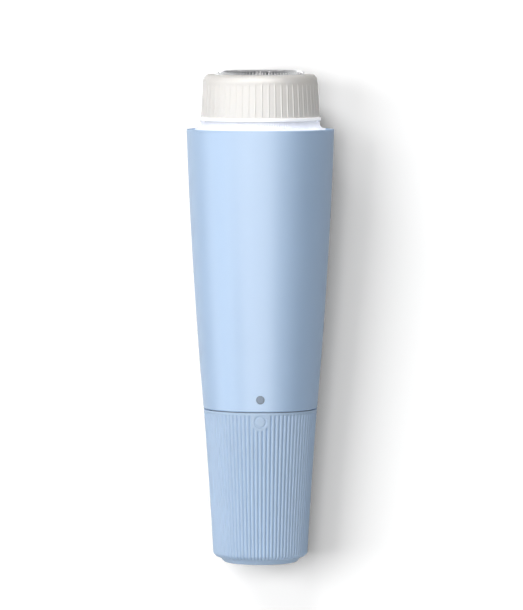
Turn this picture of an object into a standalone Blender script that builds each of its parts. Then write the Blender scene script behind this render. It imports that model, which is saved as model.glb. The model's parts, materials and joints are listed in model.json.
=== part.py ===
"""A battery facial shaver standing on its foot: a tapered handle, a reeded twist base that is also the
battery door, and a round shaving head with a slotted foil over a spinning cutter.

The frame has its origin at the centre of the foot, +Z along the handle towards the head, and -Y towards
the indicator dot. Lengths are given in millimetres and turned into metres where a mesh is made.
Levels are named by their height above the foot, and r is a distance from the handle's axis.
"""

import math

import bmesh
import bpy
from mathutils import Matrix, Vector

MM = 0.001

# Driving dimensions, for a whole height of 111.6
RIM_LEVEL = 98.25  # top of the blue handle
JOINT_LEVEL = 35.0  # lower edge of the handle, where the twist base begins
JOINT_GAP = 0.25
FOOT_R = 8.2
FOOT_CHAMFER = 1.95
WALL = 1.3
GAP = 0.3  # between pieces that rest on each other
SLIP = 0.15  # between pieces that turn or slide past each other
BATTERY_R = 7.1
BATTERY_LENGTH = 50.5
MOTOR_R = 10.0
SHAFT_R = 1.0

# Surface pattern
RIBS = 80
RIB_DEPTH = 0.32
FLUTES = 55
FLUTE_DEPTH = 0.16
FOIL_SLOTS = 30
FOIL_THICKNESS = 0.22

# Roundness of turned pieces, in steps for a full turn
FINE, MEDIUM, COARSE = 48, 32, 20

# Base
FLOOR_LEVEL = 1.5
BASE_TOP = JOINT_LEVEL - JOINT_GAP
COLLAR_R, COLLAR_BORE, COLLAR_TOP = 11.0, 9.3, 41.6
RING_GROOVE_LEVEL, RING_GROOVE_R = 38.0, 10.1
LINER_BORE = 7.9

# Switch rotor and chassis
ROTOR_LEVEL, ROTOR_TOP = 42.0, 44.0
TUBE_BORE, TUBE_R, TUBE_LEVEL = 7.6, 8.6, 36.5
FLANGE_LEVEL = 45.3
PLATE_LEVEL, PLATE_TOP = 58.2, 59.4
BATTERY_LEVEL = 6.9

# Motor and deck
BOARD_LEVEL = 60.8
CAN_LEVEL, CAN_TOP = 70.0, 94.0
DECK_LEVEL, DECK_TOP = 95.1, 96.5
SCREW_SPOT = 7.2  # distance of each motor screw from the axis
LED_SPOT = 13.6

# Head
GUIDE_LEVEL, GUIDE_TOP = 96.8, 99.85
HEAD_LEVEL = 100.2
CAP_LEVEL = 101.0
CAP_TOP = 110.65
FOIL_R = 10.37
CARRIER_LEVEL = 104.2

BLUE = (0.50, 0.66, 0.86)
IVORY = (0.80, 0.77, 0.73)
WHITE = (0.88, 0.89, 0.92)
STEEL = (0.62, 0.63, 0.65)
COPPER = (0.72, 0.42, 0.25)
BLACK = (0.03, 0.03, 0.035)


def material(name, colour, roughness, metallic=0.0, alpha=1.0):
    made = bpy.data.materials.get(name) or bpy.data.materials.new(name)
    made.use_nodes = True
    shader = made.node_tree.nodes["Principled BSDF"]
    shader.inputs["Base Color"].default_value = (*colour, 1.0)
    shader.inputs["Roughness"].default_value = roughness
    shader.inputs["Metallic"].default_value = metallic
    shader.inputs["Alpha"].default_value = alpha
    return made


def rounded(bm, name):
    """The mesh of a bmesh, smooth but for its edges sharper than 35 degrees."""
    mesh = bpy.data.meshes.new(name)
    bm.to_mesh(mesh)
    bm.free()
    mesh.shade_smooth()
    mesh.set_sharp_from_angle(angle=math.radians(35))
    return mesh


def place(name, mesh, finish):
    """A new object in the shaver's collection, or in the cutters' one where it has no finish."""
    obj = bpy.data.objects.new(name, mesh)
    if finish is None:
        obj.hide_render = True
        obj.display_type = "WIRE"
        bpy.data.collections["cutters"].objects.link(obj)
    else:
        mesh.materials.append(finish)
        bpy.data.collections["facial_shaver"].objects.link(obj)
    return obj


def turned(name, outline, finish, steps=MEDIUM):
    """A solid of revolution from (r, level) points. An outline from r 0 to r 0 stays open there."""
    area = 0.0
    for (r0, z0), (r1, z1) in zip(outline, outline[1:] + outline[:1]):
        area += r0 * z1 - r1 * z0
    if area > 0:  # the outer side has to run from top to bottom
        outline = outline[::-1]
    last = len(outline) - 1
    edges = [(i, i + 1) for i in range(last)]
    if outline[0][0] > 0:
        edges.append((last, 0))
    mesh = bpy.data.meshes.new(name)
    mesh.from_pydata([(r * MM, 0.0, z * MM) for r, z in outline], edges, [])
    obj = place(name, mesh, finish)
    screw = obj.modifiers.new("Turn", "SCREW")
    screw.steps = screw.render_steps = steps
    screw.use_merge_vertices = True
    screw.merge_threshold = 0.00001
    screw.use_smooth_shade = True
    return obj


def ring(name, inner, outer, low, high, finish, steps=MEDIUM):
    """A plain turned ring, or a disc where inner is 0."""
    return turned(name, [(inner, high), (outer, high), (outer, low), (inner, low)], finish, steps)


def block(name, size, centre, finish, turn=0.0):
    """A box of that size, its centre at (x, y, level) before a turn about the axis, in degrees."""
    bm = bmesh.new()
    bmesh.ops.create_cube(bm, size=1.0)
    bmesh.ops.scale(bm, vec=Vector(size) * MM, verts=bm.verts)
    bmesh.ops.translate(bm, vec=Vector(centre) * MM, verts=bm.verts)
    bmesh.ops.rotate(bm, matrix=Matrix.Rotation(math.radians(turn), 3, "Z"), verts=bm.verts)
    mesh = bpy.data.meshes.new(name)
    bm.to_mesh(mesh)
    bm.free()
    return place(name, mesh, finish)


def rod(name, radius, low, high, finish, at=(0.0, 0.0), sides=COARSE):
    """An upright cylinder at (x, y)."""
    bm = bmesh.new()
    bmesh.ops.create_cone(
        bm, cap_ends=True, segments=sides, radius1=radius * MM, radius2=radius * MM, depth=(high - low) * MM
    )
    bmesh.ops.translate(bm, vec=Vector((*at, (low + high) / 2)) * MM, verts=bm.verts)
    return place(name, rounded(bm, name), finish)


def as_mesh(curve_object, finish):
    """Replaces a curve object with its own mesh, caps welded, so that a Boolean can take it."""
    bpy.context.view_layer.update()
    graph = bpy.context.evaluated_depsgraph_get()
    mesh = bpy.data.meshes.new_from_object(curve_object.evaluated_get(graph))
    name, matrix = curve_object.name, curve_object.matrix_world.copy()
    bpy.data.objects.remove(curve_object)
    bm = bmesh.new()
    bm.from_mesh(mesh)
    bmesh.ops.remove_doubles(bm, verts=bm.verts, dist=0.000001)
    bmesh.ops.recalc_face_normals(bm, faces=bm.faces)
    bm.to_mesh(mesh)
    bm.free()
    mesh.materials.clear()
    obj = place(name, mesh, finish)
    obj.matrix_world = matrix
    return obj


def plate(name, outline, low, high, finish):
    """A flat outline of (x, y) points, as thick as from low to high."""
    curve = bpy.data.curves.new(name, "CURVE")
    curve.dimensions = "2D"
    curve.fill_mode = "BOTH"
    curve.extrude = (high - low) / 2 * MM
    spline = curve.splines.new("POLY")
    spline.points.add(len(outline) - 1)
    for point, (x, y) in zip(spline.points, outline):
        point.co = (x * MM, y * MM, 0.0, 1.0)
    spline.use_cyclic_u = True
    obj = bpy.data.objects.new(name, curve)
    obj.location.z = (low + high) / 2 * MM
    bpy.context.scene.collection.objects.link(obj)
    return as_mesh(obj, finish)


def arc(radius, start, end, step=7.5):
    """(x, y) points on a circle between two angles, in degrees."""
    count = max(2, math.ceil(abs(end - start) / step) + 1)
    angles = [math.radians(start + (end - start) * i / (count - 1)) for i in range(count)]
    return [(radius * math.cos(a), radius * math.sin(a)) for a in angles]


def sector(name, inner, outer, low, high, middle, half, finish):
    """A piece of a ring, half degrees to each side of the angle middle."""
    outline = arc(outer, middle - half, middle + half) + arc(inner, middle + half, middle - half)
    return plate(name, outline, low, high, finish)


def wire(name, points, radius, finish):
    """A round wire through (x, y, level) points."""
    curve = bpy.data.curves.new(name, "CURVE")
    curve.dimensions = "3D"
    curve.bevel_depth = radius * MM
    curve.bevel_resolution = 2
    curve.use_fill_caps = True
    spline = curve.splines.new("POLY")
    spline.points.add(len(points) - 1)
    for point, place_mm in zip(spline.points, points):
        point.co = (*(Vector(place_mm) * MM), 1.0)
    curve.materials.append(finish)
    obj = bpy.data.objects.new(name, curve)
    bpy.data.collections["facial_shaver"].objects.link(obj)
    return obj


def coil(name, low_r, high_r, low, high, turns, radius, finish, steps=12):
    """A compression spring whose coil narrows from low_r to high_r as it climbs."""
    points = []
    for i in range(int(turns * steps) + 1):
        share = i / (turns * steps)
        angle = 2 * math.pi * i / steps
        r = low_r + (high_r - low_r) * share
        level = low + radius + (high - low - 2 * radius) * share
        points.append((r * math.cos(angle), r * math.sin(angle), level))
    return wire(name, points, radius, finish)


def combine(obj, other, operation):
    """Cuts other out of obj, or joins it on, with an exact Boolean."""
    made = obj.modifiers.new(operation.title() + " " + other.name, "BOOLEAN")
    made.operation = operation
    made.solver = "EXACT"
    made.object = other


def cut(obj, *cutters):
    for cutter in cutters:
        combine(obj, cutter, "DIFFERENCE")


def join(obj, *others):
    for other in others:
        combine(obj, other, "UNION")


def grooved(name, levels, columns, groove, finish, hollow=False):
    """A loft through rings of (r, level, share of the groove): every second column sinks by the groove,
    and one that doesn't faces the front. The last ring joins the first in a hollow piece; otherwise both
    are closed by a flat face."""
    bm = bmesh.new()
    rings = []
    for r, level, share in levels:
        made = []
        for i in range(columns):
            angle = math.tau * i / columns - math.pi / 2
            at = r - groove * share * (i % 2)
            made.append(bm.verts.new(Vector((at * math.cos(angle), at * math.sin(angle), level)) * MM))
        rings.append(made)
    pairs = list(zip(rings, rings[1:]))
    if hollow:
        pairs.append((rings[-1], rings[0]))
    else:
        bm.faces.new(rings[0])
        bm.faces.new(rings[-1])
    for lower, upper in pairs:
        for i in range(columns):
            j = (i + 1) % columns
            bm.faces.new((lower[i], lower[j], upper[j], upper[i]))
    bmesh.ops.recalc_face_normals(bm, faces=bm.faces)
    return place(name, rounded(bm, name), finish)


def handle_r(level):
    """Outer radius of the handle: a long shallow arc that narrows towards the base."""
    return 9.303 + 0.11648 * level - 0.0004205 * level**2


def base_r(level):
    """Outer radius of the twist base, between its chamfer and the joint line."""
    rise = level - FOOT_CHAMFER
    return 10.72 + 0.05897 * rise + 0.000358 * rise * (level - 18.4)


def make_shell(blue):
    """The handle's casing, open at both ends, with a bearing bore for the base and a ledge for the rotor."""
    outside = [JOINT_LEVEL + (RIM_LEVEL - JOINT_LEVEL) * i / 4 for i in range(5)]
    outline = [(handle_r(z), z) for z in outside]
    outline[-1] = (handle_r(RIM_LEVEL) - 0.12, RIM_LEVEL)
    outline.insert(-1, (handle_r(RIM_LEVEL - 0.2), RIM_LEVEL - 0.2))
    outline += [(15.35, RIM_LEVEL), (15.35, 96.6)]
    outline += [(handle_r(z) - WALL, z) for z in (96.2, 78.0, 60.0, 44.8)]
    outline += [(11.9, 44.6), (11.9, 42.3), (11.3, 42.3), (11.3, JOINT_LEVEL)]
    shell = turned("body_shell", outline, blue, FINE)

    # The indicator dot is an inlay set into the front wall just above the joint.
    dot_level, dot_r, dot_depth = 37.8, 0.95, 0.5
    front = handle_r(dot_level)
    grey = material("dot_grey", (0.26, 0.29, 0.33), 0.4, 0.5)
    for name, radius, start, end, finish in (
        ("dot_pocket", dot_r + 0.05, front - dot_depth - 0.1, front + 1.0, None),
        ("indicator_dot", dot_r, front - dot_depth, front - 0.02, grey),
    ):
        piece = rod(name, radius, start, end, finish, sides=24)
        piece.data.transform(Matrix.Rotation(math.radians(90), 4, "X"))
        piece.location.z = dot_level * MM
    cut(shell, bpy.data.objects["dot_pocket"])


def make_light_ring(white):
    """The clear flared ring round the head's root, and its ring of four lamps under the deck."""
    guide = material("guide_clear", (0.90, 0.91, 0.98), 0.2, 0.0, 0.85)
    outline = [(12.85, GUIDE_TOP), (13.45, GUIDE_TOP), (13.5, 99.35), (13.85, 98.8), (14.7, 98.4)]
    outline += [(14.75, 98.1)]
    outline += [(14.7, 97.6), (15.05, 97.6), (15.05, GUIDE_LEVEL), (12.85, GUIDE_LEVEL)]
    turned("light_guide", outline, guide, FINE)

    board = material("board_green", (0.05, 0.22, 0.12), 0.5)
    ring("led_board", 12.0, 14.6, 94.0, 94.8, board, MEDIUM)
    lamp = material("lamp_white", (0.95, 0.93, 0.80), 0.3)
    deck = bpy.data.objects["head_deck"]
    for i in range(4):
        turn = 45 + 90 * i
        block(f"led_{i + 1}", (1.2, 2.0, 1.6), (LED_SPOT, 0, 95.75), lamp, turn)
        window = block(f"led_window_{i + 1}", (1.6, 2.5, 3.0), (LED_SPOT, 0, 95.8), None, turn)
        cut(deck, window)


def make_deck(white):
    """The plate that closes the handle, with the collar that the head plugs over."""
    outline = [(3.3, DECK_TOP), (10.9, DECK_TOP), (10.9, 99.6), (11.75, 99.6), (11.75, DECK_TOP)]
    outline += [(14.85, DECK_TOP), (14.85, DECK_LEVEL), (3.3, DECK_LEVEL)]
    deck = turned("head_deck", outline, white, MEDIUM)
    rubber = material("seal_rubber", BLACK, 0.8)
    ring("shaft_seal", SHAFT_R + 0.1, 4.4, DECK_TOP + GAP / 2, 97.5, rubber, COARSE)

    steel = material("screw_steel", STEEL, 0.35, 1.0)
    for i, x in enumerate((-SCREW_SPOT, SCREW_SPOT)):
        hole = rod(f"deck_screw_hole_{i}", 1.1, DECK_LEVEL - 3, DECK_TOP + 1, None, (x, 0), 12)
        cut(deck, hole)
        screw = rod(f"motor_screw_{i + 1}", 0.85, 92.6, DECK_TOP + 0.6, steel, (x, 0), 12)
        head = rod(f"screw_head_{i}", 1.7, DECK_TOP + SLIP, DECK_TOP + 1.25, None, (x, 0), 16)
        driver = block(f"screw_slot_{i}", (4.0, 0.45, 0.8), (x, 0, DECK_TOP + 1.3), None)
        join(screw, head)
        cut(screw, driver)


def make_motor():
    """A small brushed motor: can, end cap, two magnets, bushings, terminals and the turning armature."""
    steel = material("motor_steel", (0.55, 0.56, 0.58), 0.4, 1.0)
    nylon = material("motor_nylon", (0.75, 0.74, 0.70), 0.5)
    bronze = material("bushing_bronze", (0.60, 0.42, 0.20), 0.4, 1.0)
    ferrite = material("magnet_ferrite", (0.06, 0.06, 0.065), 0.7)
    copper = material("copper", COPPER, 0.35, 1.0)

    wall = 0.8
    outline = [(3.2, CAN_TOP), (MOTOR_R - 0.8, CAN_TOP), (MOTOR_R, CAN_TOP - 0.8), (MOTOR_R, CAN_LEVEL)]
    outline += [(MOTOR_R - wall, CAN_LEVEL), (MOTOR_R - wall, CAN_TOP - wall), (3.2, CAN_TOP - wall)]
    can = turned("motor_can", outline, steel, MEDIUM)
    for i, x in enumerate((-SCREW_SPOT, SCREW_SPOT)):
        cut(can, rod(f"can_screw_hole_{i}", 1.0, CAN_TOP - 2, CAN_TOP + 1, None, (x, 0), 12))

    outline = [(2.6, 69.7), (9.7, 69.7), (9.7, 68.2), (3.5, 68.2), (3.5, 66.4), (2.6, 66.4)]
    end_cap = turned("motor_end_cap", outline, nylon, 24)
    for name, x in (("motor_terminal_plus", 6.2), ("motor_terminal_minus", -6.2)):
        block(name, (0.4, 2.0, 6.6), (x, 0, 67.7), copper)
        cut(end_cap, block(name + "_slot", (0.8, 2.4, 4.0), (x, 0, 69.0), None))

    ring("motor_bushing_front", SHAFT_R + 0.05, 3.1, CAN_TOP - 0.9, 95.4, bronze, COARSE)
    ring("motor_bushing_rear", SHAFT_R + 0.05, 2.5, 66.6, 69.2, bronze, COARSE)
    for name, middle in (("magnet_left", 180), ("magnet_right", 0)):
        sector(name, 7.7, 9.0, 73.0, 91.0, middle, 62, ferrite)

    rod("motor_shaft", SHAFT_R, 67.0, 102.6, material("shaft_steel", STEEL, 0.25, 1.0), sides=16)
    ring("commutator", SHAFT_R + 0.05, 2.3, 70.4, 74.2, copper, COARSE)
    make_armature(material("core_steel", (0.35, 0.35, 0.37), 0.5, 1.0), copper)


def make_armature(core_steel, copper):
    """Three poles with a winding round each stem."""
    low, high, stem = 75.6, 88.4, 0.9
    outline = []
    for pole in range(3):
        middle = 90 + 120 * pole
        across = math.degrees(math.asin(stem / 3.0))
        under = math.degrees(math.asin(stem / 5.9))
        outline += arc(3.0, middle - across, middle - across + 0.01)[:1]
        outline += arc(5.9, middle - under, middle - under + 0.01)[:1]
        outline += arc(5.9, middle - 48, middle - 47.9)[:1]
        outline += arc(7.2, middle - 48, middle + 48, 12)
        outline += arc(5.9, middle + 48, middle + 48.1)[:1]
        outline += arc(5.9, middle + under, middle + under + 0.01)[:1]
        outline += arc(3.0, middle + across, middle + across + 0.01)[:1]
    core = plate("armature_core", outline, low, high, core_steel)
    cut(core, rod("core_bore", SHAFT_R + 0.05, low - 1, high + 1, None, sides=16))
    for pole in range(3):
        turn = 90 + 120 * pole
        height = high - low + 1.6
        winding = block(f"winding_{pole + 1}", (1.8, 3.4, height), (4.3, 0, (low + high) / 2), copper, turn)
        slot_size = (4.0, 2 * stem + 0.2, high - low + 0.2)
        slot = block(f"winding_slot_{pole + 1}", slot_size, (4.3, 0, (low + high) / 2), None, turn)
        cut(winding, slot)


def make_chassis(white):
    """The inner frame: a battery tube, a flange over the switch, a contact plate and two legs to the deck."""
    outline = [(1.2, PLATE_TOP), (12.7, PLATE_TOP), (12.7, PLATE_LEVEL), (TUBE_R, PLATE_LEVEL)]
    outline += [(TUBE_R, FLANGE_LEVEL + 1), (11.7, FLANGE_LEVEL + 1), (11.7, FLANGE_LEVEL)]
    outline += [(TUBE_R, FLANGE_LEVEL), (TUBE_R, TUBE_LEVEL), (TUBE_BORE, TUBE_LEVEL)]
    outline += [(TUBE_BORE, PLATE_LEVEL), (1.2, PLATE_LEVEL)]
    chassis = turned("chassis", outline, white, MEDIUM)
    for name, middle in (("chassis_leg_left", 180), ("chassis_leg_right", 0)):
        join(chassis, sector(name, 11.5, 12.5, PLATE_TOP - 0.5, 93.7, middle, 20, None))

    nickel = material("contact_nickel", (0.70, 0.69, 0.66), 0.3, 1.0)
    outline = [(0, BOARD_LEVEL - 0.2), (0.8, BOARD_LEVEL - 0.2), (0.8, 58.0), (4.5, 58.0)]
    outline += [(4.5, 57.7), (0, 57.7)]
    turned("positive_contact", outline, nickel, COARSE)
    sector("switch_contact", 9.4, 10.6, 44.75, 45.05, 0, 20, nickel)


def make_electronics():
    """The control board over the battery, its parts, and the leads to the motor and the lamps."""
    board = material("board_green", (0.05, 0.22, 0.12), 0.5)
    ring("control_board", 0, 11.2, BOARD_LEVEL, BOARD_LEVEL + 1.2, board, 24)
    top = BOARD_LEVEL + 1.2 + SLIP
    dark = material("chip_black", BLACK, 0.4)
    rod("inductor", 2.2, top, top + 2.6, dark, (0, -6.0), 16)
    block("driver_chip", (4.0, 4.0, 1.0), (0, 4.5, top + 0.5), dark)
    for name, side, colour in (("red", 1, (0.55, 0.03, 0.02)), ("black", -1, BLACK)):
        cover = material("lead_" + name, colour, 0.5)
        route = [(4.6, 0), (4.7, 0.7), (5.1, 1.3), (5.6, 1.7), (5.75, 2.1)]
        wire(f"motor_lead_{name}", [(side * x, 0, top + 0.1 + z) for x, z in route], 0.4, cover)
        angle = math.radians(90 - side * 4)
        route = [(9.0, 0.1), (9.4, 1.0), (10.3, 2.4), (10.95, 5.0), (11.0, 12.0), (11.0, 22.0), (11.3, 28.5)]
        route += [(12.2, 30.6), (12.9, 31.35)]
        across, along = math.cos(angle), math.sin(angle)
        wire(f"led_lead_{name}", [(r * across, r * along, top + z) for r, z in route], 0.3, cover)


def make_switch():
    """The captive rotor that the base keys into, and the wiper that it carries."""
    white = material("rotor_white", WHITE, 0.5)
    outline = [(9.25, ROTOR_TOP), (11.65, ROTOR_TOP), (11.65, 42.6), (COLLAR_R, 42.6)]
    outline += [(COLLAR_R, ROTOR_LEVEL), (9.25, ROTOR_LEVEL)]
    rotor = turned("switch_rotor", outline, white, MEDIUM)
    liner = bpy.data.objects["base_liner"]
    for name, middle in (("left", 180), ("right", 0)):
        join(rotor, sector(f"rotor_key_{name}", 9.5, 10.8, 40.0, ROTOR_LEVEL + 0.5, middle, 10, None))
        cut(liner, sector(f"liner_notch_{name}", 9.0, 11.4, 39.7, COLLAR_TOP + 1, middle, 12, None))

    nickel = material("contact_nickel", (0.70, 0.69, 0.66), 0.3, 1.0)
    wiper = sector("switch_wiper", 8.75, 10.7, ROTOR_TOP + SLIP, ROTOR_TOP + 0.45, -90, 22, nickel)
    join(wiper, sector("wiper_leg", 8.75, 9.05, 35.8, ROTOR_TOP + 0.3, -90, 9, None))


def make_base(blue):
    """The reeded cover, the liner with the collar, the negative contact with its spring, and the seal."""
    levels = [(FOOT_R, 0.0, 0), (base_r(FOOT_CHAMFER), FOOT_CHAMFER, 0), (base_r(2.7), 2.7, 1)]
    levels += [(base_r(18.4), 18.4, 1), (base_r(33.5), 33.5, 1), (base_r(34.2), 34.2, 0)]
    levels += [(base_r(BASE_TOP), BASE_TOP, 0), (11.25, BASE_TOP, 0), (9.3, FLOOR_LEVEL, 0)]
    cover = grooved("base_cover", levels, 2 * RIBS, RIB_DEPTH, blue)

    # A raised ring marks the rest position, under the dot.
    mark_level, mark_r = 32.84, 1.4
    front = base_r(mark_level)
    mark = rod("off_mark", mark_r, front - 0.6, front + 0.02, None, sides=20)
    well = rod("off_mark_well", mark_r - 0.35, front - 0.15, front + 1, None, sides=20)
    for piece in (mark, well):
        piece.data.transform(Matrix.Rotation(math.radians(90), 4, "X"))
        piece.location.z = mark_level * MM
    join(cover, mark)
    cut(cover, well)

    liner = [(LINER_BORE, 2.3), (LINER_BORE, 34.9), (COLLAR_BORE, 34.9), (COLLAR_BORE, COLLAR_TOP)]
    liner += [(COLLAR_R, COLLAR_TOP), (COLLAR_R, RING_GROOVE_LEVEL + 0.8)]
    liner += [(RING_GROOVE_R, RING_GROOVE_LEVEL + 0.8), (RING_GROOVE_R, RING_GROOVE_LEVEL - 0.8)]
    liner += [(COLLAR_R, RING_GROOVE_LEVEL - 0.8), (COLLAR_R, 34.9), (10.9, 34.5), (9.0, 3.0), (9.0, 2.3)]
    turned("base_liner", liner, material("liner_white", WHITE, 0.5), MEDIUM)

    rubber = material("seal_rubber", BLACK, 0.8)
    turns = [math.tau * i / 8 for i in range(8)]
    section = [(10.7 + 0.48 * math.cos(t), RING_GROOVE_LEVEL + 0.48 * math.sin(t)) for t in turns]
    turned("base_o_ring", section, rubber, MEDIUM)

    nickel = material("contact_nickel", (0.70, 0.69, 0.66), 0.3, 1.0)
    contact = ring("negative_contact", 0, 7.5, 1.7, 2.0, nickel, COARSE)
    join(contact, sector("contact_strip", 7.3, 7.6, 1.8, 35.4, -90, 11, None))
    join(contact, sector("contact_tab", 7.3, 9.05, 35.2, 35.5, -90, 11, None))
    coil("negative_spring", 4.6, 2.4, 2.15, BATTERY_LEVEL - SLIP, 3.0, 0.3, nickel)


def make_battery():
    """One AA cell: the can and its positive button."""
    sleeve = material("battery_sleeve", (0.12, 0.13, 0.15), 0.4, 0.3)
    top = BATTERY_LEVEL + BATTERY_LENGTH
    outline = [(0, top - 1.2), (BATTERY_R - 0.5, top - 1.2), (BATTERY_R, top - 1.7)]
    outline += [(BATTERY_R, BATTERY_LEVEL + 0.3), (BATTERY_R - 0.3, BATTERY_LEVEL), (0, BATTERY_LEVEL)]
    turned("battery_cell", outline, sleeve, MEDIUM)
    ring("battery_button", 0, 2.7, top - 1.1, top, material("button_steel", STEEL, 0.3, 1.0), COARSE)


def make_cutter(white):
    """The drive coupling on the shaft, its spring, and the carrier with the nine-bladed cutter."""
    coupling = turned(
        "drive_coupling",
        [(0, 103.2), (2.6, 103.2), (2.6, 98.9), (4.3, 98.9), (4.3, 98.0), (SHAFT_R + 0.05, 98.0)]
        + [(SHAFT_R + 0.05, 102.8), (0, 102.8)],
        material("coupling_black", (0.05, 0.05, 0.055), 0.5),
        COARSE,
    )
    join(coupling, block("drive_post", (3.0, 3.0, 4.2), (0, 0, 104.9), None))
    spring = material("spring_steel", STEEL, 0.3, 1.0)
    coil("cutter_spring", 3.5, 3.5, 99.05, CARRIER_LEVEL - SLIP, 3.0, 0.25, spring)

    outline = [(0, 109.4), (8.0, 109.4), (8.0, 108.5), (4.6, 108.5), (4.6, CARRIER_LEVEL), (0, CARRIER_LEVEL)]
    carrier = turned("cutter_carrier", outline, white, 24)
    cut(carrier, block("carrier_socket", (3.3, 3.3, 5.0), (0, 0, 105.45), None))

    steel = material("blade_steel", (0.66, 0.67, 0.69), 0.2, 1.0)
    blades = ring("cutter_blades", 2.0, 8.5, 109.55, 109.95, steel, 24)
    for i in range(9):
        blade = block(f"blade_{i + 1}", (3.2, 0.4, 1.3), (6.7, 0, 110.4), None, 40 * i)
        join(blades, blade)


def make_foil():
    """A thin domed sheet with radial slots over its shoulder, and the skirt and flange that hold it."""
    profile = [(6.9, 111.56), (8.3, 111.46), (9.3, 111.22), (9.95, 110.9), (FOIL_R, 110.45)]
    profile += [(FOIL_R, 108.95), (11.35, 108.95)]
    slotted = (0, 1, 2)  # the bands between profile points that the slots run through
    columns = 2 * FOIL_SLOTS
    bm = bmesh.new()
    rings = []
    for r, level in profile:
        angles = [math.tau * i / columns for i in range(columns)]
        rings.append([bm.verts.new(Vector((r * math.cos(a), r * math.sin(a), level)) * MM) for a in angles])
    bm.faces.new(rings[0])
    for band, (inner, outer) in enumerate(zip(rings, rings[1:])):
        for i in range(columns):
            if band in slotted and i % 2:
                continue
            j = (i + 1) % columns
            bm.faces.new((inner[j], inner[i], outer[i], outer[j]))
    foil = place("foil", rounded(bm, "foil"), material("foil_steel", (0.66, 0.66, 0.67), 0.18, 1.0))
    thickness = foil.modifiers.new("Thickness", "SOLIDIFY")
    thickness.thickness = FOIL_THICKNESS * MM
    thickness.offset = -1.0


def make_head():
    """The fluted cap, the white base ring that plugs into the handle, and the ring that clamps the foil."""
    ivory = material("cap_ivory", IVORY, 0.45)
    outside = [(13.45, CAP_LEVEL, 0), (13.42, 101.7, 1), (13.0, 108.4, 0.8), (12.9, 109.4, 0)]
    outside += [(12.5, 110.25, 0), (11.8, CAP_TOP, 0), (10.6, CAP_TOP, 0)]
    inside = [(10.6, 109.3, 0), (11.9, 109.3, 0), (11.9, CAP_LEVEL, 0)]
    grooved("head_cap", outside + inside, 2 * FLUTES, FLUTE_DEPTH, ivory, hollow=True)

    white = material("head_white", WHITE, 0.3)
    outline = [(10.9, 107.5), (11.6, 107.5), (11.6, 100.9), (13.67, 100.9), (13.67, HEAD_LEVEL)]
    outline += [(12.6, HEAD_LEVEL), (12.6, 97.4), (12.05, 97.4), (12.05, 99.95), (10.9, 99.95)]
    turned("head_base", outline, white, FINE)
    ring("foil_retainer", 9.95, 11.5, 107.75, 108.6, material("retainer_grey", (0.3, 0.3, 0.32), 0.5), MEDIUM)
    make_foil()


def main():
    for obj in list(bpy.data.objects):
        bpy.data.objects.remove(obj)
    for name in ("facial_shaver", "cutters"):
        bpy.context.scene.collection.children.link(bpy.data.collections.new(name))

    blue = material("body_blue", BLUE, 0.4)
    white = material("inner_white", WHITE, 0.5)
    make_shell(blue)
    make_deck(white)
    make_light_ring(white)
    make_chassis(white)
    make_electronics()
    make_motor()
    make_base(blue)
    make_switch()
    make_battery()
    make_cutter(white)
    make_head()


main()
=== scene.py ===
"""Looks for the facial shaver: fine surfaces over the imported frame, materials, studio and camera."""

import json
import math

import bmesh
import bpy
import numpy as np
from mathutils import Matrix, Vector


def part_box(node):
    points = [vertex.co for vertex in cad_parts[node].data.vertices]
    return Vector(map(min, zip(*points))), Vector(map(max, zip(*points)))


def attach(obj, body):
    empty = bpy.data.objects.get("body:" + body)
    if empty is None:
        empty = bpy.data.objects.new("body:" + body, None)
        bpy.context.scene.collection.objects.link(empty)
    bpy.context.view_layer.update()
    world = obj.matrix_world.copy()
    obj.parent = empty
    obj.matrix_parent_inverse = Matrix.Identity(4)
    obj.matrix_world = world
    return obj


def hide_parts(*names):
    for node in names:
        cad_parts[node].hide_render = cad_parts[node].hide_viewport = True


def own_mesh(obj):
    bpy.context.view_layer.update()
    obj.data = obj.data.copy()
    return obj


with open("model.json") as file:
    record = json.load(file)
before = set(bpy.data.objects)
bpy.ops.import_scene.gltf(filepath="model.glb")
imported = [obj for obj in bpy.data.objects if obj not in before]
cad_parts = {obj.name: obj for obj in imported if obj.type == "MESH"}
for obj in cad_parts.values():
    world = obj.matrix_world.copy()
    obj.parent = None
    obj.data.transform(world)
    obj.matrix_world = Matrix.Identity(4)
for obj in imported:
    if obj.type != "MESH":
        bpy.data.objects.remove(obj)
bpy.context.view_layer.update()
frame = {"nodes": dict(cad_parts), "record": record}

MM = 0.001
NODES = frame["nodes"]

# Surface pattern of the moulded pieces
RIBS = 80
RIB_DEPTH = 0.28
FLUTES = 55
FLUTE_DEPTH = 0.11
FOIL_SLOTS = 86
GUIDE_TEETH = 150
FRONT = -math.pi / 2  # the angle that faces the camera

# Linear colours
BLUE = (0.43, 0.61, 0.86)
# painted shade: the body's blue made duller and greyer for the reeded base, standing in for the shade among
# its ribs
DULL_BLUE = (0.44, 0.59, 0.79)
IVORY = (0.80, 0.774, 0.738)
WHITE = (0.86, 0.87, 0.88)
STEEL = (0.62, 0.63, 0.65)


# ---------------------------------------------------------------- sizes taken from the frame


def rings(node):
    """(level, largest radius) at each level of a turned CAD node's plain back, lowest first."""
    widest = {}
    for v in NODES[node].data.vertices:
        if v.co.y < 0:
            continue
        level = round(v.co.z / MM, 3)
        widest[level] = max(widest.get(level, 0.0), math.hypot(v.co.x, v.co.y) / MM)
    return sorted(widest.items())


def levels(node):
    """Lowest and highest level of a CAD node, in millimetres."""
    low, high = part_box(node)
    return low.z / MM, high.z / MM


def bow(node, low, high):
    """A node's outer radius as a smooth function of level, through its outermost rings from low to high."""
    z, r = np.array([ring for ring in rings(node) if low - 0.01 <= ring[0] <= high + 0.01]).T
    chord = r[0] + (r[-1] - r[0]) * (z - z[0]) / (z[-1] - z[0])
    outermost = r > chord - 0.3
    return np.poly1d(np.polyfit(z[outermost], r[outermost], 2))


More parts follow.
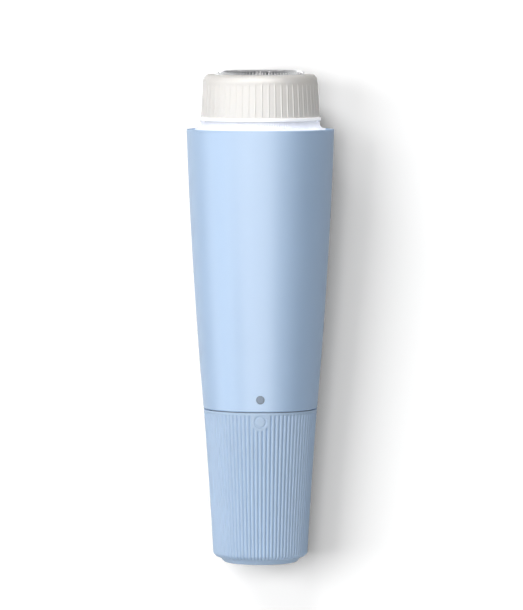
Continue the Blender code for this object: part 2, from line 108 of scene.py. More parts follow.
JOINT_LEVEL, RIM_LEVEL = levels("body_shell")
FOOT_LEVEL, BASE_TOP = levels("base_cover")
FOOT_R = rings("base_cover")[0][1]
CHAMFER_LEVEL, CHAMFER_R = next(ring for ring in rings("base_cover") if ring[1] > FOOT_R + 2)
CAP_LEVEL, CAP_TOP = levels("head_cap")
GUIDE_LEVEL, GUIDE_TOP = levels("light_guide")
CELL_R = max(r for _, r in rings("battery_cell"))
SPRING_R, SPRING_WIRE, SPRING_TURNS = 3.5, 0.25, 3


# ---------------------------------------------------------------- meshes


def softened(corners, steps=4):
    """An outline of (r, level, rounding) corners as (r, level) points, each corner rounded by that radius."""
    made = []
    for i, (r, z, rounding) in enumerate(corners):
        here = np.array((r, z), float)
        if rounding <= 0:
            made.append(here)
            continue
        back = np.array(corners[i - 1][:2]) - here
        ahead = np.array(corners[(i + 1) % len(corners)][:2]) - here
        reach = min(np.linalg.norm(back), np.linalg.norm(ahead))
        back, ahead = back / np.linalg.norm(back), ahead / np.linalg.norm(ahead)
        half = math.acos(float(np.clip(back @ ahead, -1, 1))) / 2
        along = min(rounding / math.tan(half), 0.48 * reach)
        radius = along * math.tan(half)
        middle = here + (back + ahead) / np.linalg.norm(back + ahead) * radius / math.sin(half)
        start, end = here + back * along - middle, here + ahead * along - middle
        turn = math.pi - 2 * half
        for k in range(steps + 1):
            share = k / steps
            mixed = math.sin((1 - share) * turn) * start + math.sin(share * turn) * end
            made.append(middle + mixed / math.sin(turn))
    return made


def mesh_object(name, verts, faces, sharp=40):
    """An object from points in millimetres and faces, facing out, smooth but for its sharp edges."""
    mesh = bpy.data.meshes.new(name)
    mesh.from_pydata((np.array(verts) * MM).tolist(), [], faces)
    bm = bmesh.new()
    bm.from_mesh(mesh)
    bmesh.ops.remove_doubles(bm, verts=bm.verts, dist=1e-7)
    bmesh.ops.recalc_face_normals(bm, faces=bm.faces)
    bm.to_mesh(mesh)
    bm.free()
    mesh.shade_smooth()
    mesh.set_sharp_from_angle(angle=math.radians(sharp))
    obj = bpy.data.objects.new(name, mesh)
    bpy.context.scene.collection.objects.link(obj)
    return obj


def revolve(name, outline, columns, relief=None, outer=0, sharp=40):
    """A closed outline of (r, level) points turned about the handle's axis. The first outer points of it
    also move in or out by relief(angle, level), in millimetres."""
    points = np.array([tuple(p[:2]) for p in outline], float)
    count = len(points)
    angle = np.arange(columns) * math.tau / columns
    radius = np.repeat(points[:, :1], columns, axis=1)
    level = np.repeat(points[:, 1:], columns, axis=1)
    if relief:
        turned = np.broadcast_to(angle, (outer, columns))
        radius[:outer] += relief(turned, level[:outer])
    verts = np.stack((radius * np.cos(angle), radius * np.sin(angle), level), axis=-1).reshape(-1, 3)
    ring = np.arange(columns)
    after = (ring + 1) % columns
    faces = []
    for i in range(count):
        here, there = i * columns, (i + 1) % count * columns
        faces += np.stack((here + ring, here + after, there + after, there + ring), 1).tolist()
    return mesh_object(name, verts, faces, sharp)


def between(low, high, count):
    return [low + (high - low) * i / (count - 1) for i in range(count)]


def smooth_step(x):
    x = np.clip(x, 0.0, 1.0)
    return x * x * (3 - 2 * x)


def stand_for(piece, body, *nodes, slot=None, finish=None):
    """The piece rides on a body in place of those CAD nodes."""
    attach(piece, body)
    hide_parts(*nodes)
    if finish:
        piece.data.materials.clear()
        piece.data.materials.append(finish)
    return piece


# ---------------------------------------------------------------- materials


class Finish:
    """A material under construction: adds nodes and links them with few words."""

    def __init__(self, name):
        self.material = bpy.data.materials.new(name)
        self.material.use_nodes = True
        self.tree = self.material.node_tree
        self.shader = self.tree.nodes["Principled BSDF"]
        self.place = self.add("ShaderNodeTexCoord").outputs["Object"]

    def add(self, kind, **settings):
        node = self.tree.nodes.new(kind)
        for key, value in settings.items():
            setattr(node, key, value)
        return node

    def link(self, source, target):
        self.tree.links.new(source, target)

    def set(self, **values):
        """Values straight on the shader's own sockets, named with _ for a space."""
        for key, value in values.items():
            socket = self.shader.inputs[key.replace("_", " ").title()]
            socket.default_value = value

    def math(self, operation, first, second=None):
        node = self.add("ShaderNodeMath", operation=operation)
        for socket, value in zip(node.inputs, (first, second)):
            if value is None:
                continue
            if isinstance(value, (int, float)):
                socket.default_value = value
            else:
                self.link(value, socket)
        return node.outputs[0]

    def noise(self, per_mm, stretch=(1, 1, 1), detail=3.0, source=None):
        """Noise with that many features a millimetre, stretched along the axes."""
        scaling = self.add("ShaderNodeMapping")
        scaling.inputs["Scale"].default_value = [s * per_mm / MM for s in stretch]
        self.link(source or self.place, scaling.inputs["Vector"])
        node = self.add("ShaderNodeTexNoise")
        node.inputs["Scale"].default_value = 1.0
        node.inputs["Detail"].default_value = detail
        self.link(scaling.outputs["Vector"], node.inputs["Vector"])
        return node.outputs["Fac"]

    def around(self):
        """Coordinates (radius, radius, level), for marks that run round a turned piece."""
        split = self.add("ShaderNodeSeparateXYZ")
        self.link(self.place, split.inputs[0])
        squares = [self.math("MULTIPLY", split.outputs[i], split.outputs[i]) for i in (0, 1)]
        radius = self.math("SQRT", self.math("ADD", *squares))
        joined = self.add("ShaderNodeCombineXYZ")
        self.link(radius, joined.inputs[0])
        self.link(split.outputs[2], joined.inputs[2])
        return joined.outputs[0]

    def spread(self, source, low, high, start=0.3, end=0.7):
        """source from start to end becomes low to high."""
        node = self.add("ShaderNodeMapRange")
        for name, value in zip(("From Min", "From Max", "To Min", "To Max"), (start, end, low, high)):
            node.inputs[name].default_value = value
        self.link(source, node.inputs["Value"])
        return node.outputs["Result"]

    def tint(self, source, first, second):
        """A colour between two, by source from 0 to 1."""
        node = self.add("ShaderNodeMix", data_type="RGBA")
        sockets = {s.name: s for s in node.inputs if s.enabled}
        self.link(source, sockets["Factor"])
        sockets["A"].default_value = (*first, 1)
        sockets["B"].default_value = (*second, 1)
        return next(s for s in node.outputs if s.enabled)

    def bump(self, source, height_mm, strength=1.0):
        """Relief of that height, added to any relief before it."""
        node = self.add("ShaderNodeBump")
        node.inputs["Strength"].default_value = strength
        node.inputs["Distance"].default_value = height_mm * MM
        self.link(source, node.inputs["Height"])
        target = self.shader.inputs["Normal"]
        if target.links:
            self.link(target.links[0].from_socket, node.inputs["Normal"])
        self.link(node.outputs["Normal"], target)

    def convex_edges(self):
        """0 on flat and hollow places, rising to 1 on convex edges."""
        return self.spread(self.add("ShaderNodeNewGeometry").outputs["Pointiness"], 0.0, 1.0, 0.52, 0.6)


def scaled(colour, share):
    """A lighter or darker colour, kept under white."""
    return tuple(min(1.0, c * share) for c in colour)


def plastic(
    name,
    colour,
    roughness=0.42,
    grain=0.004,
    per_mm=3.0,
    mottle=0.03,
    edge_highlight=1.06,
    soft=0.0,
    gloss=0.8,
):
    """Moulded plastic: a faint grain, slow drift of colour and gloss, and a painted highlight on convex
    edges.
    """
    f = Finish(name)
    f.set(roughness=roughness, subsurface_weight=soft)
    f.shader.inputs["IOR"].default_value = 1.55
    f.shader.inputs["Specular IOR Level"].default_value = gloss
    f.shader.inputs["Subsurface Radius"].default_value = (0.6, 0.5, 0.4)
    f.shader.inputs["Subsurface Scale"].default_value = 0.001
    slow, fine = f.noise(0.05, detail=4), f.noise(per_mm, detail=2)
    body = f.tint(f.spread(slow, 0, 1), scaled(colour, 1 - mottle), scaled(colour, 1 + mottle))
    # painted highlight: convex edges take a lighter copy of the colour
    edge = f.add("ShaderNodeMix", data_type="RGBA")
    sockets = {s.name: s for s in edge.inputs if s.enabled}
    f.link(f.convex_edges(), sockets["Factor"])
    f.link(body, sockets["A"])
    sockets["B"].default_value = (*scaled(colour, edge_highlight), 1)
    f.link(next(s for s in edge.outputs if s.enabled), f.shader.inputs["Base Color"])
    patches = f.math("ADD", slow, fine)
    rough = f.spread(patches, roughness - 0.05, roughness + 0.05, 0.7, 1.3)
    f.link(rough, f.shader.inputs["Roughness"])
    f.bump(fine, grain)
    return f


def metal(name, colour, roughness=0.25, marks=(1, 1, 1), per_mm=2.0, around=False, grain=0.004, drift=0.12):
    """Bare metal: fine machining marks, stretched or turned, with a drift in tone and gloss."""
    f = Finish(name)
    f.set(metallic=1.0, roughness=roughness)
    source = f.around() if around else f.place
    lines, slow = f.noise(per_mm, marks, 4, source), f.noise(0.12, detail=3)
    shade = f.spread(f.math("ADD", lines, slow), 0, 1, 0.75, 1.25)
    f.link(f.tint(shade, scaled(colour, 1 - drift), scaled(colour, 1 + drift)), f.shader.inputs["Base Color"])
    f.link(f.spread(lines, roughness - 0.07, roughness + 0.1), f.shader.inputs["Roughness"])
    f.bump(lines, grain)
    return f


def glowing(f, colour, strength):
    f.shader.inputs["Emission Color"].default_value = (*colour, 1)
    f.shader.inputs["Emission Strength"].default_value = strength
    return f


def board_finish(name):
    """Solder mask over copper tracks: straight tracks show as a slight relief and a lighter green."""
    f = Finish(name)
    f.set(roughness=0.35)
    brick = f.add("ShaderNodeTexBrick")
    scaling = f.add("ShaderNodeMapping")
    scaling.inputs["Scale"].default_value = (420, 420, 420)
    f.link(f.place, scaling.inputs["Vector"])
    f.link(scaling.outputs["Vector"], brick.inputs["Vector"])
    brick.inputs["Mortar Size"].default_value = 0.06
    tracks = f.math("MULTIPLY", brick.outputs["Fac"], f.spread(f.noise(0.25), 0, 1, 0.45, 0.5))
    f.link(f.tint(tracks, (0.02, 0.16, 0.07), (0.07, 0.30, 0.13)), f.shader.inputs["Base Color"])
    f.bump(tracks, 0.03)
    return f


def finishes():
    """One material for each of the record's slots, and one for the reeded base: the body's blue made duller
    as painted shade among its ribs.
    """
    blue = plastic("blue_satin", BLUE, 0.40, 0.0025, 4.0, 0.012, 1.04, soft=0.08)
    ribbed = plastic("blue_ribbed", DULL_BLUE, 0.52, 0.003, 4.0, 0.012, 1.1, soft=0.08, gloss=0.5)
    ivory = plastic("ivory_satin", IVORY, 0.46, 0.004, 5.0, 0.02, 1.03, soft=0.15)
    white = plastic("white_gloss", WHITE, 0.22, 0.002, 3.0, 0.015, soft=0.1)
    inner = plastic("white_matte", WHITE, 0.5, 0.006, 4.0, 0.03)
    made = {
        "body_blue": blue,
        "base_blue": ribbed,
        "cap_ivory": ivory,
        # painted light: the white flange glows above 100.2 mm, keeping the band bright where the cap shades
        # it
        "head_white": lit_by_level(white, (0.95, 0.96, 1.0), 0.0, 0.35, 100.2, 100.4),
        "inner_white": inner,
        "rotor_white": plastic("acetal_white", (0.80, 0.80, 0.78), 0.38, 0.004, 3.0, 0.03),
        "liner_white": plastic("liner_white", (0.82, 0.83, 0.84), 0.45, 0.006, 4.0, 0.03),
        "motor_nylon": plastic("nylon_natural", (0.66, 0.63, 0.54), 0.48, 0.01, 3.0, 0.06),
        "retainer_grey": plastic("grey_matte", (0.12, 0.12, 0.13), 0.5, 0.008, 4.0, 0.08, 1.5),
        "coupling_black": plastic("black_acetal", (0.03, 0.03, 0.033), 0.36, 0.005, 3.0, 0.15, 2.0),
        "chip_black": plastic("moulded_black", (0.022, 0.022, 0.024), 0.5, 0.012, 6.0, 0.15, 1.8),
        "lead_red": plastic("insulation_red", (0.50, 0.02, 0.015), 0.32, 0.004, 4.0, 0.06),
        "lead_black": plastic("insulation_black", (0.02, 0.02, 0.022), 0.35, 0.004, 4.0, 0.1, 1.5),
        "seal_rubber": plastic("rubber_black", (0.018, 0.018, 0.02), 0.62, 0.012, 5.0, 0.2, 1.9),
        "magnet_ferrite": plastic("ferrite", (0.045, 0.045, 0.05), 0.6, 0.02, 6.0, 0.2, 1.6),
        "battery_sleeve": plastic("sleeve_graphite", (0.055, 0.06, 0.07), 0.32, 0.0005, 0.5, 0.03, 1.1),
        "lamp_white": glowing(plastic("lamp_resin", (0.92, 0.88, 0.70), 0.25, 0.003), (0.9, 0.93, 1.0), 6.0),
        "board_green": board_finish("solder_mask"),
        "foil_steel": metal("foil_steel", (0.70, 0.70, 0.71), 0.16, (6, 6, 6), 1.2, True, 0.002, 0.08),
        "blade_steel": metal("blade_steel", (0.44, 0.45, 0.47), 0.28, (1, 1, 8), 1.5, False, 0.001),
        "spring_steel": metal("spring_steel", STEEL, 0.25, (3, 3, 3), 2.0),
        "shaft_steel": metal("shaft_steel", STEEL, 0.18, (1, 1, 12), 0.8, True, 0.002),
        "screw_steel": metal("screw_zinc", (0.60, 0.61, 0.64), 0.32, (2, 2, 2), 2.0),
        "button_steel": metal("button_nickel", (0.66, 0.65, 0.62), 0.24, (6, 6, 6), 1.5, True),
        "motor_steel": metal("motor_zinc", (0.56, 0.57, 0.60), 0.34, (3, 3, 9), 0.7, True, 0.004),
        "core_steel": metal("laminations", (0.30, 0.30, 0.32), 0.45, (0.2, 0.2, 12), 0.9, True, 0.02, 0.3),
        "contact_nickel": metal("contact_nickel", (0.70, 0.69, 0.65), 0.27, (2, 2, 5), 1.0),
        "bushing_bronze": metal("bronze", (0.55, 0.38, 0.18), 0.5, (1, 1, 1), 5.0, False, 0.02, 0.25),
        "copper": metal("copper_enamel", (0.66, 0.30, 0.14), 0.28, (3, 3, 14), 0.5, True, 0.03, 0.2),
        "dot_grey": metal("dot_grey", (0.165, 0.203, 0.255), 0.6, (4, 4, 4), 2.5, False, 0.006, 0.15),
    }
    made["dot_grey"].shader.inputs["Metallic"].default_value = 0.25
    made["guide_clear"] = guide_finish()
    return {slot: f.material for slot, f in made.items()}


def lit_by_level(f, colour, low, high, start, end):
    """A glow whose strength goes from low to high between two levels, in millimetres."""
    split = f.add("ShaderNodeSeparateXYZ")
    f.link(f.place, split.inputs[0])
    rise = f.spread(split.outputs[2], low, high, start * MM, end * MM)
    f.link(f.math("MULTIPLY", rise, f.spread(f.noise(0.6), 0.94, 1.06)), f.shader.inputs["Emission Strength"])
    f.shader.inputs["Emission Color"].default_value = (*colour, 1)
    return f


def guide_finish():
    """Milky clear plastic lit from below: a little brighter low down."""
    f = plastic("guide_milky", (0.32, 0.33, 0.40), 0.24, 0.003, 4.0, 0.02, soft=0.4)
    return lit_by_level(f, (0.88, 0.92, 1.0), 0.72, 0.45, 98.9, GUIDE_TOP)


# ---------------------------------------------------------------- pieces of the outside


def make_shell(finish):
    """The handle: a satin taper with a soft lip at the rim and a small bright bevel at the joint."""
    radius = bow("body_shell", JOINT_LEVEL, RIM_LEVEL - 0.1)
    lip = RIM_LEVEL
    corners = [(radius(lip), lip, 0.26), (radius(lip - 0.42), lip - 0.42, 0.04)]
    corners += [(radius(lip - 0.48) - 0.05, lip - 0.48, 0.02), (radius(lip - 0.58), lip - 0.58, 0.04)]
    corners += [(radius(z), z, 0) for z in between(lip - 2.0, JOINT_LEVEL + 0.8, 60)]
    corners += [(radius(JOINT_LEVEL + 0.2), JOINT_LEVEL + 0.2, 0.05)]
    corners += [(radius(JOINT_LEVEL) - 0.12, JOINT_LEVEL, 0.06)]
    corners += [(11.3, JOINT_LEVEL, 0.12), (11.3, 42.3, 0.1), (11.9, 42.3, 0), (11.9, 44.6, 0)]
    corners += [(radius(z) - 1.3, z, 0) for z in (44.8, 60.0, 78.0, 96.2)]
    corners += [(15.35, 96.6, 0), (15.35, lip, 0.22)]
    shell = revolve("shell_skin", softened(corners, 5), 256)
    pocket = cutter_rod("dot_pocket", radius(DOT_LEVEL) + 1, radius(DOT_LEVEL) - 0.6, DOT_R + 0.02, DOT_LEVEL)
    cut(shell, pocket)
    stand_for(shell, "handle", "body_shell", slot="body_blue", finish=finish["body_blue"])
    make_dot(radius, finish)


DOT_LOW, DOT_HIGH = levels("indicator_dot")
DOT_LEVEL, DOT_R = (DOT_LOW + DOT_HIGH) / 2, (DOT_HIGH - DOT_LOW) / 2


def cutter_rod(name, outer, inner, radius, level):
    """A rod that points at the front, for a cut."""
    bm = bmesh.new()
    width, depth = radius * MM, (outer - inner) * MM
    bmesh.ops.create_cone(bm, cap_ends=True, segments=64, radius1=width, radius2=width, depth=depth)
    bmesh.ops.rotate(bm, matrix=Matrix.Rotation(math.pi / 2, 3, "X"), verts=bm.verts)
    bmesh.ops.translate(bm, vec=Vector((0, -(outer + inner) / 2, level)) * MM, verts=bm.verts)
    mesh = bpy.data.meshes.new(name)
    bm.to_mesh(mesh)
    bm.free()
    obj = bpy.data.objects.new(name, mesh)
    bpy.context.scene.collection.objects.link(obj)
    return obj


def cut(obj, cutter, operation="DIFFERENCE"):
    """Cuts the cutter out of obj's mesh for good, or with UNION joins it on."""
    made = obj.modifiers.new("Cut", "BOOLEAN")
    made.operation = operation
    made.solver = "EXACT"
    made.object = cutter
    graph = bpy.context.evaluated_depsgraph_get()
    mesh = bpy.data.meshes.new_from_object(obj.evaluated_get(graph))
    obj.modifiers.clear()
    obj.data = mesh
    bpy.data.objects.remove(cutter)


def make_dot(radius, finish):
    """The indicator inlay: a disc that follows the handle's curve, its edge a little rounded."""
    profile = [(0.0, 0.0), (0.55, 0.0), (0.82, -0.01), (0.93, -0.03), (0.98, -0.07), (1.0, -0.14)]
    profile += [(1.0, -0.45)]
    columns = 48
    verts, faces = [], []
    for share, sink in profile:
        for i in range(columns):
            angle = math.tau * i / columns
            x, z = share * DOT_R * math.cos(angle), DOT_LEVEL + share * DOT_R * math.sin(angle)
            y = -math.sqrt(float(radius(z)) ** 2 - x * x) - sink + 0.012
            verts.append((x, y, z))
    for ring in range(len(profile) - 1):
        for i in range(columns):
            j = (i + 1) % columns
            here, there = ring * columns, (ring + 1) * columns
            faces.append((here + i, here + j, there + j, there + i))
    faces.append(list(range((len(profile) - 1) * columns, len(profile) * columns)))
    dot = mesh_object("indicator_inlay", verts, faces)
    stand_for(dot, "handle", "indicator_dot", slot="dot_grey", finish=finish["dot_grey"])


MARK_LEVEL = 32.8
MARK_R = 1.25
WINDOW_R = 1.95


def reeding(angle, level):
    """Convex ribs with narrow grooves between, round-ended on the chamfer, a plain window at the front, and a
    ring engraved in it."""
    pitch = (angle - FRONT) * RIBS / math.tau
    across = np.abs((pitch + 0.5) % 1.0 - 0.5) * 2  # 0 on a rib's crest, 1 in the middle of a groove
    tip = smooth_step((level - 1.1 - 0.4 * across**2) / 0.2)
    foot = smooth_step((level - 0.2) / 0.7)
    rib = (1 - across**2.6) * tip
    side = ((angle - FRONT + math.pi) % math.tau - math.pi) * 12.6
    rise = level - MARK_LEVEL
    away = np.hypot(side, np.minimum(rise, 0))
    plain = smooth_step((BASE_TOP - 0.45 - level) / 0.3) * smooth_step((away - WINDOW_R) / 0.3)
    off_ring = np.abs(np.hypot(side, rise) - MARK_R)
    groove = smooth_step((0.25 - off_ring) / 0.09)
    proud = 0.35 * np.clip(CHAMFER_LEVEL - level, 0, 1) * rib
    return proud - RIB_DEPTH * (1 - rib) * plain * foot - 0.16 * groove - 0.02


def make_base(finish):
    """The twist base: reeded from the chamfered foot to a plain band under the joint."""
    radius = bow("base_cover", CHAMFER_LEVEL, BASE_TOP)
    slope = (CHAMFER_R - FOOT_R) / CHAMFER_LEVEL
    points = softened([(6.0, FOOT_LEVEL, 0), (FOOT_R, FOOT_LEVEL, 0.3), (FOOT_R + 0.3 * slope, 0.3, 0)])
    points += [(FOOT_R + z * slope, z) for z in between(0.4, CHAMFER_LEVEL - 0.3, 13)]
    corner = [(FOOT_R + 1.7 * slope, 1.7, 0), (CHAMFER_R, CHAMFER_LEVEL, 0.3), (radius(2.4), 2.4, 0)]
    points += softened(corner)[1:]
    points += [(radius(z), z) for z in between(2.6, 30.2, 12) + between(30.3, BASE_TOP - 0.2, 48)]
    top = BASE_TOP + 0.08
    edge = [(radius(BASE_TOP - 0.2), BASE_TOP - 0.2, 0), (radius(top), top, 0.06), (12.0, top, 0)]
    points += softened(edge)[1:-1]
    ribbed = len(points)
    points += softened([(11.25, top, 0.1), (9.3, 1.5, 0.3), (0.0, 1.5, 0), (0.0, FOOT_LEVEL, 0)])
    base = revolve("base_skin", points, RIBS * 12, reeding, ribbed)
    stand_for(base, "twist_base", "base_cover", slot="body_blue", finish=finish["base_blue"])


def fluting(angle, level):
    """Wide flat flutes that meet in narrow ridges and fade out under the shoulder."""
    pitch = ((angle - FRONT - math.radians(1.6)) * FLUTES / math.tau) % 1.0
    across = np.abs(2 * pitch - 1)  # 1 on a ridge, 0 in the middle of a flute
    ends = smooth_step((109.0 - level) / 0.9) * smooth_step((level - CAP_LEVEL + 0.3) / 0.4)
    return -FLUTE_DEPTH * (1 - across**7) * ends


def make_cap(finish):
    """The head cap, fluted, with a full round shoulder and a flat lip round the foil."""
    low, high = CAP_LEVEL, CAP_TOP
    wide, tall = 1.35, 1.9  # the shoulder's arc
    side, slope = 13.43, 0.061
    start = high - tall
    corner = side - slope * (start - low)
    points = [(13.3, low), (13.38, low + 0.03)]
    points += [(side - slope * (z - low), z) for z in between(low + 0.12, start, 36)]
    turns = between(0, math.pi / 2, 12)[1:]
    points += [(corner - wide * (1 - math.cos(t)), start + tall * math.sin(t)) for t in turns]
    points += [(10.75, high), (10.66, high - 0.02), (10.62, high - 0.08)]
    fluted = len(points)
    points += [(10.6, high - 0.14), (10.6, 109.3), (11.9, 109.3), (11.9, low), (12.6, low)]
    cap = revolve("cap_skin", points, FLUTES * 16, fluting, fluted)
    stand_for(cap, "shaving_head", "head_cap", slot="cap_ivory", finish=finish["cap_ivory"])


def make_foil(finish):
    """The foil: a thin flat sheet with two rings of radial slots, the outer ones over its shoulder."""
    columns = 4 * FOIL_SLOTS
    profile = [(0.0, 111.53), (1.2, 111.53), (2.3, 111.52), (2.6, 111.46), (2.9, 111.43), (3.3, 111.43)]
    profile += [(5.3, 111.45), (5.7, 111.47), (6.0, 111.5), (7.8, 111.52), (8.2, 111.515), (8.5, 111.5)]
    profile += [(8.85, 111.46)]
    profile += [(9.2, 111.38), (9.5, 111.27), (9.75, 111.12), (9.95, 110.94), (10.1, 110.76), (10.22, 110.58)]
    profile += [(10.3, 110.4), (10.35, 110.2), (10.36, 109.4), (10.4, 109.1), (10.5, 109.0), (11.3, 108.98)]
    slots = ((3.2, 5.4, 8, 5), (5.9, 10.33, 4, 2))  # from r, to r, columns a pitch, columns open
    angle = (np.arange(columns) + 0.5) * math.tau / columns
    verts = [(r * math.cos(a), r * math.sin(a), z) for r, z in profile for a in angle]
    faces = []
    for band, ((inner, _), (outer, _)) in enumerate(zip(profile, profile[1:])):
        pitch, opening = next(((p, o) for low, high, p, o in slots if low < inner and outer < high), (1, 0))
        for i in range(columns):
            if (i + opening // 2) % pitch >= pitch - opening:
                continue
            j = (i + 1) % columns
            here, there = band * columns, (band + 1) * columns
            faces.append((here + i, here + j, there + j, there + i))
    foil = mesh_object("foil_skin", verts, faces, 60)
    thick = foil.modifiers.new("Thickness", "SOLIDIFY")
    thick.thickness = 0.07 * MM
    thick.offset = -1.0
    stand_for(foil, "shaving_head", "foil", slot="foil_steel", finish=finish["foil_steel"])


def teeth(angle, level):
    """Fine upright prisms round the flare of the light ring."""
    wave = 0.5 - 0.5 * np.cos(angle * GUIDE_TEETH)
    return -0.08 * wave * smooth_step((99.75 - level) / 0.1) * smooth_step((level - 98.4) / 0.5)


def make_guide(finish):
    """The clear ring round the head's root, with a skirt that flares to the rim."""
    top = GUIDE_TOP
    points = softened([(13.0, top + 0.1, 0), (13.45, top + 0.1, 0.1), (13.47, top - 0.3, 0)], 4)[1:]
    turns = between(0, math.pi / 2, 14)
    points += [(13.5 + 1.2 * (1 - math.cos(t)), 99.35 - 0.95 * math.sin(t)) for t in turns]
    points += [(14.74, 98.37), (14.76, 98.3), (14.75, 98.1), (14.7, 97.6), (15.05, 97.58)]
    toothed = len(points)
    points += [(15.05, GUIDE_LEVEL), (12.85, GUIDE_LEVEL), (12.85, top + 0.1)]
    guide = revolve("guide_skin", points, GUIDE_TEETH * 8, teeth, toothed)
    stand_for(guide, "handle", "light_guide", slot="guide_clear", finish=finish["guide_clear"])


def make_head_base(finish):
    """The white ring under the cap, with the skirt that plugs into the handle."""
    low, high = levels("head_base")
    corners = [(13.67, 100.9, 0.12), (13.67, 100.2, 0.12), (12.6, 100.2, 0.1), (12.6, low, 0.25)]
    corners += [(12.05, low, 0.1), (12.05, 99.95, 0), (10.9, 99.95, 0.1), (10.9, high, 0.15)]
    corners += [(11.6, high, 0.15), (11.6, 100.9, 0)]
    ring = revolve("head_base_skin", softened(corners), 192)
    stand_for(ring, "shaving_head", "head_base", slot="head_white", finish=finish["head_white"])


def make_cutter(finish):
    """The cutter: a flat ring with nine radial blades that sweep close under the foil."""
    low = levels("cutter_blades")[0]
    top, tip, blades = low + 0.4, 111.2, 9
    corners = [(2.0, low, 0.05), (8.5, low, 0.05), (8.5, top, 0.05), (2.0, top, 0.05)]
    cutter = revolve("cutter_skin", softened(corners, 2), 96)
    side = [(3.0, low + 0.2), (8.3, low + 0.2), (9.1, tip), (3.0, tip)]
    quads = [(0, 1, 2, 3), (4, 5, 6, 7), (0, 1, 5, 4), (1, 2, 6, 5), (2, 3, 7, 6), (3, 0, 4, 7)]
    for i in range(blades):
        cos, sin = math.cos(math.tau * i / blades), math.sin(math.tau * i / blades)
        verts = [(r * cos - y * sin, r * sin + y * cos, z) for y in (-0.2, 0.2) for r, z in side]
        cut(cutter, mesh_object(f"blade_{i + 1}", verts, quads), "UNION")
    cutter.data.set_sharp_from_angle(angle=math.radians(40))
    stand_for(cutter, "cutter", "cutter_blades", slot="blade_steel", finish=finish["blade_steel"])


def make_battery(finish):
    """The cell's sleeve: a smooth can with rolled ends and a shallow bead under the shoulder."""
    low, high = levels("battery_cell")
    corners = [(0.0, high, 0), (CELL_R - 0.9, high, 0.1), (CELL_R - 0.7, high - 0.12, 0.1)]
    corners += [(CELL_R - 0.5, high, 0.1)]
    corners += [(CELL_R, high - 0.5, 0.3), (CELL_R, high - 2.4, 0.2), (CELL_R - 0.15, high - 2.8, 0.2)]
    corners += [(CELL_R, high - 3.2, 0.2)] + [(CELL_R, z, 0) for z in between(high - 4, low + 1, 40)]
    corners += [(CELL_R, low + 0.5, 0.3), (CELL_R - 0.4, low, 0.1), (0.0, low, 0)]
    cell = revolve("cell_skin", softened(corners), 128)
    stand_for(cell, "battery", "battery_cell", slot="battery_sleeve", finish=finish["battery_sleeve"])


def make_spring(finish):
    """The cutter's spring: a round-wire coil that shortens as the cutter is pressed down."""
    low, high = levels("cutter_spring")
    sides = 12
    steps = SPRING_TURNS * 40
    verts = []
    for i in range(steps + 1):
        angle = math.tau * SPRING_TURNS * i / steps
        level = low + SPRING_WIRE + (high - low - 2 * SPRING_WIRE) * i / steps
        for k in range(sides):
            round_wire = math.tau * k / sides
            r = SPRING_R + SPRING_WIRE * math.cos(round_wire)
            z = level + SPRING_WIRE * math.sin(round_wire)
            verts.append((r * math.cos(angle), r * math.sin(angle), z))
    faces = [list(range(sides)), list(range(steps * sides, (steps + 1) * sides))]
    for i in range(steps):
        for k in range(sides):
            n = (k + 1) % sides
            faces.append((i * sides + k, i * sides + n, (i + 1) * sides + n, (i + 1) * sides + k))
    spring = mesh_object("spring_coil", verts, faces)
    stand_for(spring, "cutter", "cutter_spring", slot="spring_steel", finish=finish["spring_steel"])
    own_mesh(spring)


def finish_frame(finish):
    """CAD nodes that stay: each takes its slot's material, rounded edges and even shading."""
    slots = {row["node"]: row["material_slot"] for row in frame["record"]["subparts"]}
    for node, obj in NODES.items():
        if obj.hide_render:
            continue
        obj.data.materials.clear()
        obj.data.materials.append(finish[slots[node]])
        for polygon in obj.data.polygons:
            polygon.use_smooth = True
        weld = obj.modifiers.new("Weld", "WELD")
        weld.merge_threshold = 0.000002
        bevel = obj.modifiers.new("Edges", "BEVEL")
        bevel.width = 0.07 * MM
        bevel.segments = 2
        bevel.limit_method = "ANGLE"
        bevel.angle_limit = math.radians(40)
        obj.modifiers.new("Shading", "WEIGHTED_NORMAL").weight = 60


# ---------------------------------------------------------------- studio


def area_light(name, place_mm, aim_mm, size_mm, watts):
    light = bpy.data.lights.new(name, "AREA")
    light.shape = "RECTANGLE"
    light.size, light.size_y = size_mm[0] * MM, size_mm[1] * MM
    light.energy = watts
    obj = bpy.data.objects.new(name, light)
    bpy.context.scene.collection.objects.link(obj)
    obj.location = Vector(place_mm) * MM
    obj.rotation_euler = (Vector(aim_mm) - Vector(place_mm)).to_track_quat("-Z", "Y").to_euler()
    return obj


